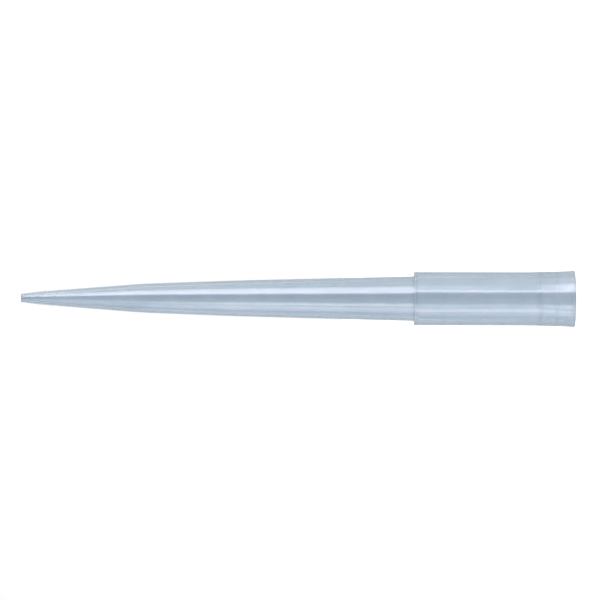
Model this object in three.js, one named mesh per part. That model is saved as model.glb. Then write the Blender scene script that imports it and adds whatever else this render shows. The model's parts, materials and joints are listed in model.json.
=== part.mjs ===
// Pipette tip for a 1000 microlitre air-displacement pipette, extended length.
// One moulded piece of polypropylene: a stepped, tapered tube, open at both ends.
// It stands on its wide mouth: the axis is +Z and the origin is the centre of the mouth.
// Sizes are in millimetres.

import * as THREE from 'three';

// Lengths of the five outer sections, stacked up from the mouth.
const collarLength = 26.1;
const upperShaftLength = 29.9;
const middleShaftLength = 14.3;
const lowerShaftLength = 16.6;
const noseLength = 3.1;

// Socket: the conical hole that grips the pipette's nozzle.
const socketDiameter = 6.86; // at its narrow end, the square inner shoulder
const socketTaper = 0.85; // degrees of half angle
const shoulderFloor = 0.4; // from the inner shoulder up to the step outside

// Mouth: two thin-walled bands and a rounded lead-in guide the nozzle into the socket.
const bandLength = 5.35; // from the rim
const bandWall = 0.56;
const bandStepLength = 0.3; // the short cone from the band to the socket
const lipLength = 2.75; // from the rim
const lipWall = 0.52;
const lipStepLength = 0.25; // the short cone from the lip to the band
const leadInLength = 1.65;
const leadInWidth = 0.16; // across the wall

// Collar: the sleeve round the socket.
const collarWall = 0.91; // beside the inner shoulder
const collarDraft = 0.05; // degrees
const flareLength = 8.7;
const flareGrowth = 0.228; // on the radius, at the mouth
const stepWidth = 0.7; // the square shoulder outside, which a rack holds

// Shaft: outer diameters and walls at the ends of its sections.
const shaftRootWall = 0.56;
const middleDiameter = 5.76;
const middleWall = 0.55;
const kneeDiameter = 4.68;
const kneeWall = 0.54;
const noseDiameter = 2.14;
const noseWall = 0.47;
const tipDiameter = 1.32;
const tipWall = 0.28;

// Blends where one taper turns into the next, as lengths to each side of the corner.
const middleBlend = 3;
const kneeBlend = 1.5;
const noseBlend = 0.6;

// Edges
const rimRound = 0.06;
const stepRound = 0.05;
const stepFillet = 0.06;
const tipRound = 0.05;

// Fineness of the curved faces
const turnSegments = 72;
const curveDivisions = 4;

const tangent = (degrees) => Math.tan(THREE.MathUtils.degToRad(degrees));

// Stations along the axis, as heights above the mouth.
const stepZ = collarLength;
const middleZ = stepZ + upperShaftLength;
const kneeZ = middleZ + middleShaftLength;
const noseZ = kneeZ + lowerShaftLength;
const tipZ = noseZ + noseLength;
const shoulderZ = stepZ - shoulderFloor;
const socketStartZ = bandLength + bandStepLength;
const bandStartZ = lipLength + lipStepLength;

// Radii that follow from the socket outwards.
const socketRadius = (z) => socketDiameter / 2 + tangent(socketTaper) * (shoulderZ - z);
const collarRadius = socketDiameter / 2 + collarWall;
const shaftRootRadius = collarRadius - stepWidth;
const middleRadius = middleDiameter / 2;
const kneeRadius = kneeDiameter / 2;
const noseRadius = noseDiameter / 2;
const tipRadius = tipDiameter / 2;

// The collar's outer radius at a height: a drafted wall that curves out into the flare.
function sleeveRadius(z) {
  const flared = Math.max(0, (flareLength - z) / flareLength);
  return collarRadius + tangent(collarDraft) * (stepZ - z) + flareGrowth * flared ** 2;
}

// The closed section: up the outside from the mouth, over the tip and back down the inside.
function tipSection() {
  const section = new THREE.Path();
  addCollar(section);
  addShaft(section);
  addBore(section);
  addMouth(section);
  section.closePath();
  return section.getPoints(curveDivisions);
}

function addCollar(section) {
  const mouthRadius = sleeveRadius(0);
  section.moveTo(mouthRadius - rimRound, 0);
  section.quadraticCurveTo(mouthRadius, 0, mouthRadius, rimRound);
  // The control point keeps the flare tangent to the drafted wall where they meet.
  const controlRadius = collarRadius + tangent(collarDraft) * (stepZ - flareLength / 2);
  section.quadraticCurveTo(controlRadius, flareLength / 2, sleeveRadius(flareLength), flareLength);
  section.lineTo(collarRadius, stepZ - stepRound);
  section.quadraticCurveTo(collarRadius, stepZ, collarRadius - stepRound, stepZ);
}

function addShaft(section) {
  section.lineTo(shaftRootRadius + stepFillet, stepZ);
  section.quadraticCurveTo(shaftRootRadius, stepZ, shaftRootRadius, stepZ + stepFillet);
  const middle = new THREE.Vector2(middleRadius, middleZ);
  const knee = new THREE.Vector2(kneeRadius, kneeZ);
  const nose = new THREE.Vector2(noseRadius, noseZ);
  const tip = new THREE.Vector2(tipRadius, tipZ);
  addBlend(section, middle, knee, middleBlend);
  addBlend(section, knee, nose, kneeBlend);
  addBlend(section, nose, tip, noseBlend);
  section.lineTo(tipRadius, tipZ - tipRound);
  section.quadraticCurveTo(tipRadius, tipZ, tipRadius - tipRound, tipZ);
}

function addBore(section) {
  const nose = new THREE.Vector2(noseRadius - noseWall, noseZ);
  const knee = new THREE.Vector2(kneeRadius - kneeWall, kneeZ);
  const middle = new THREE.Vector2(middleRadius - middleWall, middleZ);
  const root = new THREE.Vector2(shaftRootRadius - shaftRootWall, shoulderZ);
  section.lineTo(tipRadius - tipWall, tipZ);
  addBlend(section, nose, knee, noseBlend);
  addBlend(section, knee, middle, kneeBlend);
  addBlend(section, middle, root, middleBlend);
  section.lineTo(root.x, root.y);
  section.lineTo(socketRadius(shoulderZ), shoulderZ);
  section.lineTo(socketRadius(socketStartZ), socketStartZ);
}

function addMouth(section) {
  section.lineTo(sleeveRadius(bandLength) - bandWall, bandLength);
  section.lineTo(sleeveRadius(bandStartZ) - bandWall, bandStartZ);
  section.lineTo(sleeveRadius(lipLength) - lipWall, lipLength);
  section.lineTo(sleeveRadius(leadInLength) - lipWall, leadInLength);
  const mouthBore = sleeveRadius(leadInLength) - lipWall + leadInWidth;
  section.quadraticCurveTo(mouthBore, rimRound, mouthBore + rimRound, 0);
}

// Runs the section up to a corner and blends it into the line to the next point.
function addBlend(section, corner, next, reach) {
  const start = section.currentPoint.clone().sub(corner).setLength(reach).add(corner);
  const end = next.clone().sub(corner).setLength(reach).add(corner);
  section.lineTo(start.x, start.y);
  section.quadraticCurveTo(corner.x, corner.y, end.x, end.y);
}

function pipetteTip() {
  const turned = new THREE.LatheGeometry(tipSection(), turnSegments);
  turned.rotateX(Math.PI / 2);
  const clearPlastic = new THREE.MeshStandardMaterial({
    color: 0xb9c7d5,
    roughness: 0.25,
    metalness: 0,
    transparent: true,
    opacity: 0.6,
  });
  const mesh = new THREE.Mesh(turned, clearPlastic);
  mesh.name = 'pipette_tip';
  return mesh;
}

const model = new THREE.Group();
model.add(pipetteTip());

export default model;
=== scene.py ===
import json
import math

import bpy
from mathutils import Matrix, Vector

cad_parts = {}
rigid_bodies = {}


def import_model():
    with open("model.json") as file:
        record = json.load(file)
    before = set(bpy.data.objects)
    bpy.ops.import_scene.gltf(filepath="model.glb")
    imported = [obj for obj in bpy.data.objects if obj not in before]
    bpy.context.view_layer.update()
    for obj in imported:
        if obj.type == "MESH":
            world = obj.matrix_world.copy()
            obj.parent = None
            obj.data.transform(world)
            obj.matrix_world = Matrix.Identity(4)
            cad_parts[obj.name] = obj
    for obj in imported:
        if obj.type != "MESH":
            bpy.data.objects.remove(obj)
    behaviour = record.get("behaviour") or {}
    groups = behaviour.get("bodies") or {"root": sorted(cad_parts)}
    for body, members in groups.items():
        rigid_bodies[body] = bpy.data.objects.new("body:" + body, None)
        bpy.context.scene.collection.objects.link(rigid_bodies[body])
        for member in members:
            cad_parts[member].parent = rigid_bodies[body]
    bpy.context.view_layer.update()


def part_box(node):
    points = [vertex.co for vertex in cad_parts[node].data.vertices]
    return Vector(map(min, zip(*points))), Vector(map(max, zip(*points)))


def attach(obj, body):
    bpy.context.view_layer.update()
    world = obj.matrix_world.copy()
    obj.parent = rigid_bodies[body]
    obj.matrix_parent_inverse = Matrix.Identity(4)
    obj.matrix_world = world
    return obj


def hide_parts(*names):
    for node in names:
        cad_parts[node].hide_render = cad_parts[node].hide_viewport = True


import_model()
low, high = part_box("pipette_tip")
mm = 0.001

# The tip's own sizes, in millimetres, beside the length and the mouth that the frame gives.
tip = {
    "length": (high.z - low.z) / mm,
    "mouthRadius": (high.x - low.x) / 2 / mm,
    "collarLength": 26.1,
    "upperShaftLength": 29.9,
    "middleShaftLength": 14.3,
    "noseLength": 3.1,
    "collarRadius": 4.34,
    "collarDraft": 0.05,
    "flareLength": 8.7,
    "flareSteps": 12,
    "shaftRootRadius": 3.64,
    "middleRadius": 2.88,
    "kneeRadius": 2.34,
    "noseRadius": 1.07,
    "tipRadius": 0.66,
    "socketRadius": 3.43,
    "socketTaper": 0.85,
    "shoulderFloor": 0.4,
    "bandLength": 5.35,
    "bandWall": 0.56,
    "bandStepLength": 0.6,
    "lipLength": 2.75,
    "lipWall": 0.52,
    "lipStepLength": 0.4,
    "leadInLength": 1.65,
    "leadInWidth": 0.16,
    "shaftRootWall": 0.56,
    "middleWall": 0.55,
    "kneeWall": 0.54,
    "noseWall": 0.47,
    "tipWall": 0.28,
    "middleBlend": 3.0,
    "kneeBlend": 1.5,
    "noseBlend": 0.6,
    "rimRound": 0.06,
    "stepRound": 0.05,
    "stepFillet": 0.06,
    "shoulderRound": 0.02,
    "bandRound": 0.15,
    "leadInBlend": 0.4,
    "tipRound": 0.08,
    "arcSteps": 6,
    "longestStep": 1.2,
    "edgeSupport": 0.05,
    "shortestSplit": 0.2,
    "turnSteps": 192,
    "mergeDistance": 0.002,
}


def slopeOf(degrees):
    return math.tan(math.radians(degrees))


def wallRadius(z):
    return tip["collarRadius"] + slopeOf(tip["collarDraft"]) * (tip["collarLength"] - z)


def sleeveRadius(z):
    growth = tip["mouthRadius"] - wallRadius(0)
    flared = max(0.0, 1 - z / tip["flareLength"])
    return wallRadius(z) + growth * flared**2


# Heights and radii where the tapers of the shaft turn into each other.
def shaftStations():
    middleZ = tip["collarLength"] + tip["upperShaftLength"]
    return {
        "middle": middleZ,
        "knee": middleZ + tip["middleShaftLength"],
        "nose": tip["length"] - tip["noseLength"],
    }


# Corners of the closed section as radius, height and rounding: up the outside, then down the bore.
def outsideCorners():
    stepZ = tip["collarLength"]
    flare = [tip["flareLength"] * (i + 1) / tip["flareSteps"] for i in range(tip["flareSteps"])]
    corners = [(tip["mouthRadius"], 0, tip["rimRound"])]
    corners += [(sleeveRadius(z), z, 0) for z in flare]
    corners += [
        (tip["collarRadius"], stepZ, tip["stepRound"]),
        (tip["shaftRootRadius"], stepZ, tip["stepFillet"]),
    ]
    corners += [(tip[name + "Radius"], z, tip[name + "Blend"]) for name, z in shaftStations().items()]
    return corners + [(tip["tipRadius"], tip["length"], tip["tipRound"])]


def insideCorners():
    shoulderZ = tip["collarLength"] - tip["shoulderFloor"]
    socketStart = tip["bandLength"] + tip["bandStepLength"]
    bandStart = tip["lipLength"] + tip["lipStepLength"]
    socketMouth = tip["socketRadius"] + slopeOf(tip["socketTaper"]) * (shoulderZ - socketStart)
    leadIn = sleeveRadius(tip["leadInLength"]) - tip["lipWall"]
    corners = [(tip["tipRadius"] - tip["tipWall"], tip["length"], tip["tipRound"])]
    for name, z in reversed(shaftStations().items()):
        corners.append((tip[name + "Radius"] - tip[name + "Wall"], z, tip[name + "Blend"]))
    return corners + [
        (tip["shaftRootRadius"] - tip["shaftRootWall"], shoulderZ, tip["shoulderRound"]),
        (tip["socketRadius"], shoulderZ, tip["shoulderRound"]),
        (socketMouth, socketStart, tip["bandRound"]),
        (sleeveRadius(tip["bandLength"]) - tip["bandWall"], tip["bandLength"], tip["bandRound"]),
        (sleeveRadius(bandStart) - tip["bandWall"], bandStart, tip["bandRound"]),
        (sleeveRadius(tip["lipLength"]) - tip["lipWall"], tip["lipLength"], tip["bandRound"]),
        (leadIn, tip["leadInLength"], tip["leadInBlend"]),
        (leadIn + tip["leadInWidth"], 0, tip["rimRound"]),
    ]


# The section's points, each with 0 for the outside or 1 for the bore.
def sectionPoints():
    corners = [(c, 0.0) for c in outsideCorners()] + [(c, 1.0) for c in insideCorners()]
    points = []
    for i, ((r, z, reach), side) in enumerate(corners):
        here = Vector((r, z))
        before = Vector(corners[i - 1][0][:2])
        after = Vector(corners[(i + 1) % len(corners)][0][:2])
        if reach == 0:
            points.append((here, side, False))
            continue
        start = here + (before - here).normalized() * reach
        end = here + (after - here).normalized() * reach
        for k in range(tip["arcSteps"] + 1):
            t = k / tip["arcSteps"]
            spot = start * (1 - t) ** 2 + here * 2 * t * (1 - t) + end * t**2
            points.append((spot, side, k in (0, tip["arcSteps"])))
    return denser(points)


# Long stretches get more points, and a close one beside each rounded corner that holds its shading.
def denser(points):
    dense = []
    for i, (here, side, cornered) in enumerate(points):
        after, _, nextCornered = points[(i + 1) % len(points)]
        span = (after - here).length
        dense.append((here, side))
        if span < tip["shortestSplit"]:
            continue
        first = tip["edgeSupport"] / span if cornered else 0.0
        last = 1 - tip["edgeSupport"] / span if nextCornered else 1.0
        pieces = max(1, math.ceil(span / tip["longestStep"]))
        stops = [first + (last - first) * k / pieces for k in range(pieces + 1)]
        dense += [(here.lerp(after, t), side) for t in stops if 0 < t < 1]
    return dense


# Adds and joins the nodes of one tree: a material's, a group's, the room's or the turned tube's.
class Graph:
    def __init__(self, tree):
        self.nodes = tree.nodes
        self.links = tree.links

    def node(self, kind, *sources, **settings):
        node = self.nodes.new(kind)
        for key, value in settings.items():
            setattr(node, key, value)
        for socket, source in zip([s for s in node.inputs if s.enabled], sources):
            self.link(source, socket)
        return node

    def link(self, source, socket):
        if isinstance(source, bpy.types.NodeSocket):
            self.links.new(source, socket)
        elif source is not None:
            socket.default_value = source

    def maths(self, operation, *sources):
        return self.node("ShaderNodeMath", *sources, operation=operation).outputs[0]


class GeometryGraph(Graph):
    def __init__(self, name, inputs):
        self.group = bpy.data.node_groups.new(name, "GeometryNodeTree")
        self.ids = {}
        for label, kind in inputs:
            item = self.group.interface.new_socket(label, in_out="INPUT", socket_type=kind)
            self.ids[label] = item.identifier
        self.group.interface.new_socket("Geometry", in_out="OUTPUT", socket_type="NodeSocketGeometry")
        super().__init__(self.group)
        self.input = self.nodes.new("NodeGroupInput")
        self.output = self.nodes.new("NodeGroupOutput")

    def whole(self, operation, *sources):
        return self.node("FunctionNodeIntegerMath", *sources, operation=operation).outputs[0]

    def live(self, sockets, name):
        return [s for s in sockets if s.name == name and s.enabled][0]

    def sampled(self, geometry, value, index, kind):
        node = self.node("GeometryNodeSampleIndex", data_type=kind, domain="POINT")
        self.link(geometry, node.inputs["Geometry"])
        self.link(value, self.live(node.inputs, "Value"))
        self.link(index, node.inputs["Index"])
        return self.live(node.outputs, "Value")


def turnedTree():
    tree = GeometryGraph(
        "turnedTube",
        [
            ("Section", "NodeSocketGeometry"),
            ("Turn Steps", "NodeSocketInt"),
            ("Merge Distance", "NodeSocketFloat"),
            ("Material", "NodeSocketMaterial"),
        ],
    )
    given = tree.input.outputs

    # A grid with one row for each point of the section and one column for each step of the turn.
    size = tree.node("GeometryNodeAttributeDomainSize", given["Section"], component="MESH")
    sectionCount = size.outputs["Point Count"]
    ringCount = tree.whole("ADD", given["Turn Steps"], 1)
    rowCount = tree.whole("ADD", sectionCount, 1)
    grid = tree.node("GeometryNodeMeshGrid", 1.0, 1.0, rowCount, ringCount)
    index = tree.node("GeometryNodeInputIndex").outputs[0]
    row = tree.whole("MODULO", tree.whole("DIVIDE_FLOOR", index, ringCount), sectionCount)
    column = tree.whole("MODULO", tree.whole("MODULO", index, ringCount), given["Turn Steps"])
    place = tree.node("GeometryNodeInputPosition").outputs[0]
    spot = tree.sampled(given["Section"], place, row, "FLOAT_VECTOR")
    split = tree.node("ShaderNodeSeparateXYZ", spot)
    radius, height = split.outputs["X"], split.outputs["Z"]
    side = tree.node("GeometryNodeInputNamedAttribute", "inside", data_type="FLOAT").outputs["Attribute"]
    inside = tree.sampled(given["Section"], side, row, "FLOAT")

    # Each column turns the whole section a step further round the axis.
    turn = tree.maths("DIVIDE", tree.maths("MULTIPLY", column, 2 * math.pi), given["Turn Steps"])
    x = tree.maths("MULTIPLY", radius, tree.maths("COSINE", turn))
    y = tree.maths("MULTIPLY", radius, tree.maths("SINE", turn))
    moved = tree.node("GeometryNodeSetPosition")
    tree.link(grid.outputs["Mesh"], moved.inputs["Geometry"])
    tree.link(tree.node("ShaderNodeCombineXYZ", x, y, height).outputs[0], moved.inputs["Position"])
    marked = tree.node("GeometryNodeStoreNamedAttribute", data_type="FLOAT", domain="POINT")
    tree.link(moved.outputs[0], marked.inputs["Geometry"])
    marked.inputs["Name"].default_value = "inside"
    tree.link(inside, tree.live(marked.inputs, "Value"))
    merged = tree.node("GeometryNodeMergeByDistance", marked.outputs[0])
    tree.link(given["Merge Distance"], merged.inputs["Distance"])
    outward = tree.node("GeometryNodeFlipFaces", merged.outputs[0])
    smooth = tree.node("GeometryNodeSetShadeSmooth", outward.outputs[0])
    real = tree.node("GeometryNodeRealizeInstances", smooth.outputs[0])
    dressed = tree.node("GeometryNodeSetMaterial", real.outputs[0])
    tree.link(given["Material"], dressed.inputs["Material"])
    tree.link(dressed.outputs[0], tree.output.inputs[0])
    return tree


class ShaderGraph(Graph):
    def blend(self, share, first, second):
        return self.node("ShaderNodeMix", share, first, second, data_type="FLOAT").outputs[0]

    def tinted(self, share, first, second):
        mix = self.node("ShaderNodeMix", data_type="RGBA")
        self.link(share, mix.inputs[0])
        for socket, source in zip([s for s in mix.inputs if s.enabled][1:], (first, second)):
            self.link(source, socket)
        return [s for s in mix.outputs if s.enabled][0]

    def ramp(self, value, start, end, low=0.0, high=1.0):
        sources = [value] + [float(v) for v in (start, end, low, high)]
        return self.node("ShaderNodeMapRange", *sources, interpolation_type="SMOOTHSTEP").outputs[0]

    # The base value, moved up or down by as much as the reach where a mark is 1 or 0.
    def varied(self, base, mark, reach):
        return self.maths("ADD", self.maths("MULTIPLY_ADD", mark, 2 * reach, -reach), base)


# Lengths in millimetres; a pair of heights says where something fades along the tip.
finish = {
    "tint": (0.605, 0.675, 0.75, 1),
    "milkyTint": (0.64, 0.70, 0.765, 1),
    "milkyClouds": (0.4, 0.75),  # the range of the clouds over which the plastic turns milky
    "endTint": (0.55, 0.62, 0.695, 1),
    "endTintFrom": 85.0,
    "paintedEndShade": (0.3, 0.36, 0.42, 1),  # painted shade: the cut face at the fine end drawn darker
    "endBandDepth": 0.14,
    "cutRoughness": 0.35,
    "sleeveRoughness": 0.1,
    "shaftRoughness": 0.06,
    "boreRoughness": 0.06,
    "noseRoughness": 0.02,
    "noseFade": (66.0, 80.0),
    "refraction": 1.49,
    "clarity": 0.95,
    "cloudSize": 3.5,
    "cloudDetail": 2.0,
    "cloudRoughness": 0.01,
    "lineWidth": 0.16,
    "lineLength": 14.0,
    "lineDetail": 1.0,
    "lineDepth": 0.0002,
    "ringPitch": 0.22,
    "ringRoughness": 0.01,
    "ringDepth": 0.012,
    "ringFade": (4.6, 5.6),
}


# Faint marks that the mould leaves: clouds in the plastic, lengthwise lines and turned rings.
def mouldMarks():
    group = bpy.data.node_groups.new("mouldMarks", "ShaderNodeTree")
    for label in ("Cloud Size", "Line Width", "Line Length", "Ring Pitch"):
        group.interface.new_socket(label, in_out="INPUT", socket_type="NodeSocketFloat")
    for label in ("Clouds", "Lines", "Rings"):
        group.interface.new_socket(label, in_out="OUTPUT", socket_type="NodeSocketFloat")
    graph = ShaderGraph(group)
    given = graph.nodes.new("NodeGroupInput").outputs
    result = graph.nodes.new("NodeGroupOutput").inputs
    place = graph.node("ShaderNodeTexCoord").outputs["Object"]
    axes = graph.node("ShaderNodeSeparateXYZ", place).outputs

    clouds = graph.node("ShaderNodeTexNoise", place, noise_dimensions="3D")
    graph.link(graph.maths("DIVIDE", 1.0, given["Cloud Size"]), clouds.inputs["Scale"])
    clouds.inputs["Detail"].default_value = finish["cloudDetail"]

    squeeze = graph.maths("DIVIDE", given["Line Width"], given["Line Length"])
    along = graph.maths("MULTIPLY", axes["Z"], squeeze)
    drawn = graph.node("ShaderNodeCombineXYZ", axes["X"], axes["Y"], along).outputs[0]
    lines = graph.node("ShaderNodeTexNoise", drawn, noise_dimensions="3D")
    graph.link(graph.maths("DIVIDE", 1.0, given["Line Width"]), lines.inputs["Scale"])
    lines.inputs["Detail"].default_value = finish["lineDetail"]

    rings = graph.node("ShaderNodeTexNoise", noise_dimensions="1D")
    graph.link(graph.maths("DIVIDE", axes["Z"], given["Ring Pitch"]), rings.inputs["W"])
    rings.inputs["Scale"].default_value = 1.0
    for label, noise in (("Clouds", clouds), ("Lines", lines), ("Rings", rings)):
        graph.link(noise.outputs[0], result[label])
    return group


# The sleeve is satin with faint rings, the shaft and the bore are polished, the nose is clear and its
# end is a rough cut.
def polishOf(graph, marks, height, inside, roughAndShadedEnd):
    onShaft = graph.maths("GREATER_THAN", height, tip["collarLength"] * mm)
    sleeve = graph.varied(finish["sleeveRoughness"], marks["Rings"], finish["ringRoughness"])
    outside = graph.blend(onShaft, sleeve, finish["shaftRoughness"])
    polish = graph.blend(inside, outside, finish["boreRoughness"])
    nearTip = graph.ramp(height, *[h * mm for h in finish["noseFade"]])
    polish = graph.blend(nearTip, polish, finish["noseRoughness"])
    polish = graph.blend(roughAndShadedEnd, polish, finish["cutRoughness"])
    return graph.varied(polish, marks["Clouds"], finish["cloudRoughness"])


# Base colour: milky where the clouds are, darker towards the fine end, and painted shade on the cut face
# at the very end.
def shadeOf(graph, marks, height, roughAndShadedEnd):
    milky = graph.ramp(marks["Clouds"], *finish["milkyClouds"])
    shade = graph.tinted(milky, finish["tint"], finish["milkyTint"])
    atEnd = graph.ramp(height, finish["endTintFrom"] * mm, tip["length"] * mm)
    shade = graph.tinted(atEnd, shade, finish["endTint"])
    return graph.tinted(roughAndShadedEnd, shade, finish["paintedEndShade"])


# The lines fade towards the fine end, and the rings are cut only inside the mouth's bands.
def reliefOf(graph, marks, height, inside):
    banded = graph.ramp(height, *[h * mm for h in finish["ringFade"]], 1, 0)
    cut = graph.maths("MULTIPLY", graph.maths("MULTIPLY", inside, banded), finish["ringDepth"])
    fade = graph.ramp(height, *[h * mm for h in finish["noseFade"]], finish["lineDepth"], 0)
    drawn = graph.maths("MULTIPLY", marks["Lines"], fade)
    bump = graph.node("ShaderNodeBump")
    bump.inputs["Strength"].default_value = 1.0
    bump.inputs["Distance"].default_value = mm
    graph.link(graph.maths("MULTIPLY_ADD", marks["Rings"], cut, drawn), bump.inputs["Height"])
    return bump.outputs["Normal"]


def polypropylene():
    material = bpy.data.materials.new("polypropylene")
    material.use_nodes = True
    graph = ShaderGraph(material.node_tree)
    group = graph.nodes.new("ShaderNodeGroup")
    group.node_tree = mouldMarks()
    group.inputs["Cloud Size"].default_value = finish["cloudSize"] * mm
    group.inputs["Line Width"].default_value = finish["lineWidth"] * mm
    group.inputs["Line Length"].default_value = finish["lineLength"] * mm
    group.inputs["Ring Pitch"].default_value = finish["ringPitch"] * mm
    marks = group.outputs
    place = graph.node("ShaderNodeTexCoord").outputs["Object"]
    height = graph.node("ShaderNodeSeparateXYZ", place).outputs["Z"]
    inside = graph.node("ShaderNodeAttribute", attribute_name="inside").outputs["Fac"]
    # The last band at the fine end: rough, and drawn darker there as painted shade.
    roughAndShadedEnd = graph.maths("GREATER_THAN", height, (tip["length"] - finish["endBandDepth"]) * mm)

    shader = graph.nodes["Principled BSDF"].inputs
    graph.link(shadeOf(graph, marks, height, roughAndShadedEnd), shader["Base Color"])
    graph.link(polishOf(graph, marks, height, inside, roughAndShadedEnd), shader["Roughness"])
    graph.link(reliefOf(graph, marks, height, inside), shader["Normal"])
    shader["IOR"].default_value = finish["refraction"]
    shader["Transmission Weight"].default_value = finish["clarity"]
    return material


def makeTip(material):
    section = sectionPoints()
    points = [Vector((spot.x, 0, spot.y)) * mm for spot, side in section]
    edges = [(i, (i + 1) % len(points)) for i in range(len(points))]
    sectionMesh = bpy.data.meshes.new("tipSection")
    sectionMesh.from_pydata(points, edges, [])
    sides = sectionMesh.attributes.new("inside", "FLOAT", "POINT")
    sides.data.foreach_set("value", [side for spot, side in section])
    builder = bpy.data.objects.new("tipBuilder", sectionMesh)
    bpy.context.collection.objects.link(builder)
    tree = turnedTree()
    modifier = builder.modifiers.new("turn", "NODES")
    modifier.node_group = tree.group
    values = {
        "Turn Steps": tip["turnSteps"],
        "Merge Distance": tip["mergeDistance"] * mm,
        "Material": material,
    }
    for label, value in values.items():
        modifier[tree.ids[label]] = value
    builder.update_tag()
    bpy.context.view_layer.update()
    evaluated = builder.evaluated_get(bpy.context.evaluated_depsgraph_get())
    mesh = bpy.data.meshes.new_from_object(evaluated)
    bpy.data.objects.remove(builder)
    piece = bpy.data.objects.new("tipBody", mesh)
    bpy.context.collection.objects.link(piece)
    print("tip:", len(mesh.vertices), "points,", len(mesh.polygons), "faces")
    return piece


plastic = polypropylene()
body = makeTip(plastic)
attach(body, "root")
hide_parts("pipette_tip")
print("tip made")

# The studio: a white room whose walls and soft boxes show in the plastic. A box is given by angles round
# the tip from the camera's side, brightening over the first two and fading over the last two, by its
# levels low down, halfway up and high up, and by its colour.
studio = {
    "floorSize": 6.0,
    "floorWhite": 0.8,
    "floorLift": 0.33,
    "floorPaintedSheen": (-0.15, 0.4),  # light added to the camera's view from above, and a painted sheen at a flat angle
    "flatAngle": (0.84, 0.9),  # where the one turns into the other, 1 being along the floor
    "roomLevel": 0.57,
    "backLevel": 0.74,
    "dark": (-10, 9, 10, 37),  # angles of the dark gap between the boxes
    "darkFade": (6, 18, 1, 0.2),  # degrees up over which the gap fades, and its depths
    "boxes": {
        "rightWall": ((27, 31, 75, 142), (1.2, 1.5, 1.5), "warm"),
        "leftWall": ((-132, -114, -93, 30), (0.7, 0.75, 0.1), "cool"),
        "key": ((34, 40, 65, 68), (0.15, 3.7, 4.2), "rosy"),
        "keyEdge": ((26, 31, 36.5, 38.5), (3.3, 3.4, 3.1), "rosy"),
        "fill": ((-44.5, -42, -39.5, -19), (1.3, 3.6, 1.5), "warm"),
        "farFill": ((-81, -77, -53, -52), (1.25, 2.05, 1.0), "rosy"),
        "fillEdge": ((-59.5, -57, -46, -43.5), (2.8, 1.2, 0.6), "rosy"),
    },
    "middleFrom": (-1.2, -0.4),  # degrees up where the boxes' next level begins
    "topFrom": (4, 8),
    "belowFade": (-40, -12, 0.35, 1),  # the walls are dimmer towards the floor
    "colours": {
        "cool": (0.91, 1.0, 1.07),
        "warm": (1.0, 1.0, 0.83),
        "rosy": (1.09, 1.0, 1.13),
    },
    "lampAngle": 48,  # degrees round the tip from the camera's side
    "lampRise": 35,  # degrees up
    "lampSize": 3.5,
    "lampDistance": 5.0,
    "lampPower": 186.2,  # watts
}


# 1 for what the camera sees, straight on, mirrored or through plastic, and 0 for light that falls on
# a surface.
def seenRays(graph):
    path = graph.node("ShaderNodeLightPath").outputs
    through = graph.maths("MAXIMUM", path["Is Glossy Ray"], path["Is Transmission Ray"])
    return graph.maths("MAXIMUM", path["Is Camera Ray"], through)


# 1 once the plastic has mirrored the light.
def mirroredRays(graph):
    depth = graph.node("ShaderNodeLightPath").outputs["Glossy Depth"]
    return graph.maths("GREATER_THAN", depth, 0.0)


# White paper, a little brighter to the camera than its own light, with a painted sheen that glows to the
# camera at a flat angle.
def floorPaper():
    paper = bpy.data.materials.new("floorPaper")
    paper.use_nodes = True
    graph = ShaderGraph(paper.node_tree)
    shader = graph.nodes["Principled BSDF"]
    shader.inputs["Base Color"].default_value = (studio["floorWhite"],) * 3 + (1,)
    shader.inputs["Roughness"].default_value = 1.0
    shader.inputs["Specular IOR Level"].default_value = 0.0
    shader.inputs["Emission Color"].default_value = (1, 1, 1, 1)
    lifted = graph.maths("MULTIPLY", seenRays(graph), studio["floorLift"])
    # Painted sheen: the floor glows to the camera at a flat angle.
    facing = graph.node("ShaderNodeLayerWeight").outputs["Facing"]
    paintedSheen = graph.ramp(facing, *studio["flatAngle"], *studio["floorPaintedSheen"])
    camera = graph.node("ShaderNodeLightPath").outputs["Is Camera Ray"]
    glow = graph.maths("MULTIPLY_ADD", camera, paintedSheen, lifted)
    graph.link(glow, shader.inputs["Emission Strength"])

    # Light that the plastic has mirrored passes the floor and shows the room.
    clear = graph.node("ShaderNodeBsdfTransparent").outputs[0]
    sheet = graph.node("ShaderNodeMixShader", mirroredRays(graph), shader.outputs[0], clear)
    graph.link(sheet.outputs[0], graph.nodes["Material Output"].inputs["Surface"])
    return paper


def makeFloor():
    half = studio["floorSize"] / 2
    corners = [(-half, -half, 0), (half, -half, 0), (half, half, 0), (-half, half, 0)]
    mesh = bpy.data.meshes.new("floor")
    mesh.from_pydata(corners, [], [(0, 1, 2, 3)])
    mesh.materials.append(floorPaper())
    floor = bpy.data.objects.new("floor", mesh)
    bpy.context.collection.objects.link(floor)
    floor.visible_glossy = False


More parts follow.
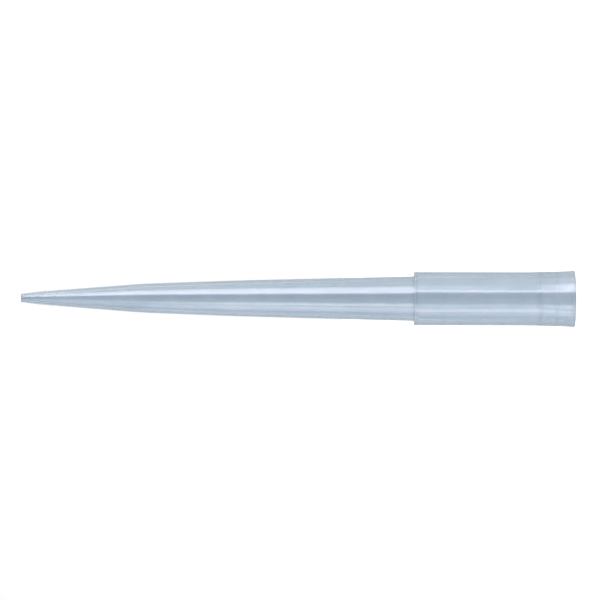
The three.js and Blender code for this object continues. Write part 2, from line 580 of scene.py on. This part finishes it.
# The walls and boxes that the plastic mirrors, as a colour for each direction out of the tip.
def mirroredWalls(graph):
    way = graph.node("ShaderNodeTexCoord").outputs["Generated"]
    axes = graph.node("ShaderNodeSeparateXYZ", way).outputs
    ahead = graph.maths("MULTIPLY", axes["Y"], -1.0)
    angle = graph.maths("DEGREES", graph.maths("ARCTAN2", axes["X"], ahead))
    rise = graph.maths("DEGREES", graph.maths("ARCSINE", axes["Z"]))
    middle = graph.ramp(rise, *studio["middleFrom"])
    top = graph.ramp(rise, *studio["topFrom"])

    def window(start, full, fading, end):
        opening = graph.ramp(angle, start, full)
        return graph.maths("MULTIPLY", opening, graph.ramp(angle, fading, end, 1, 0))

    def lit(level, colour, rest=(0, 0, 0)):
        sources = (level, colour, rest)
        return graph.node("ShaderNodeVectorMath", *sources, operation="MULTIPLY_ADD").outputs[0]

    depth = graph.ramp(rise, *studio["darkFade"])
    shadow = graph.maths("SUBTRACT", 1.0, graph.maths("MULTIPLY", window(*studio["dark"]), depth))
    back = graph.maths("MULTIPLY", shadow, studio["backLevel"])
    walls = lit(back, studio["colours"]["cool"])
    for angles, (lowLevel, midLevel, topLevel), colour in studio["boxes"].values():
        level = graph.blend(top, graph.blend(middle, lowLevel, midLevel), topLevel)
        boxLight = graph.maths("MULTIPLY", window(*angles), level)
        walls = lit(boxLight, studio["colours"][colour], walls)
    return lit(graph.ramp(rise, *studio["belowFade"]), walls)


def makeRoom():
    world = bpy.data.worlds.new("studioRoom")
    bpy.context.scene.world = world
    world.use_nodes = True
    world.cycles.sampling_method = "NONE"
    graph = ShaderGraph(world.node_tree)
    plain = graph.blend(seenRays(graph), studio["roomLevel"], 1.0)
    room = graph.tinted(mirroredRays(graph), plain, mirroredWalls(graph))
    graph.link(room, graph.nodes["Background"].inputs["Color"])


# One soft lamp gives the floor its shadow; the plastic mirrors the room's boxes in its place.
def makeLamp():
    turn = math.radians(studio["lampAngle"])
    back = Vector((math.sin(turn), -math.cos(turn), slopeOf(studio["lampRise"]))).normalized()
    light = bpy.data.lights.new("keyLamp", "AREA")
    light.size = studio["lampSize"]
    light.energy = studio["lampPower"]
    lamp = bpy.data.objects.new("keyLamp", light)
    bpy.context.collection.objects.link(lamp)
    side = Vector((0, 0, 1)).cross(back).normalized()
    facing = Matrix((side, back.cross(side), back)).transposed().to_4x4()
    lamp.matrix_world = Matrix.Translation(back * studio["lampDistance"]) @ facing
    lamp.visible_camera = False
    lamp.visible_glossy = False
    lamp.visible_transmission = False


makeFloor()
makeRoom()
makeLamp()

# The camera lies on its side, so the tip's fine end is at the left. The lens is in millimetres and the
# lengths are in metres.
shot = {
    "lens": 200.0,
    "seenWidth": 0.09769,
    "centreHeight": 0.04464,
    "sideways": -0.00028,
    "roll": 0.1,  # degrees
    "clipStart": 0.01,
    "clipEnd": 20.0,
}
camera = bpy.data.objects.new("camera", bpy.data.cameras.new("camera"))
bpy.context.collection.objects.link(camera)
camera.data.lens = shot["lens"]
camera.data.clip_start = shot["clipStart"]
camera.data.clip_end = shot["clipEnd"]
distance = shot["lens"] / camera.data.sensor_width * shot["seenWidth"]
onItsSide = Matrix(((0, 1, 0), (0, 0, -1), (-1, 0, 0))).to_4x4()
camera.matrix_world = (
    Matrix.Translation((shot["sideways"], -distance, shot["centreHeight"]))
    @ onItsSide
    @ Matrix.Rotation(math.radians(shot["roll"]), 4, "Z")
)
bpy.context.scene.camera = camera
bpy.context.scene.view_settings.view_transform = "Standard"
print("studio made")
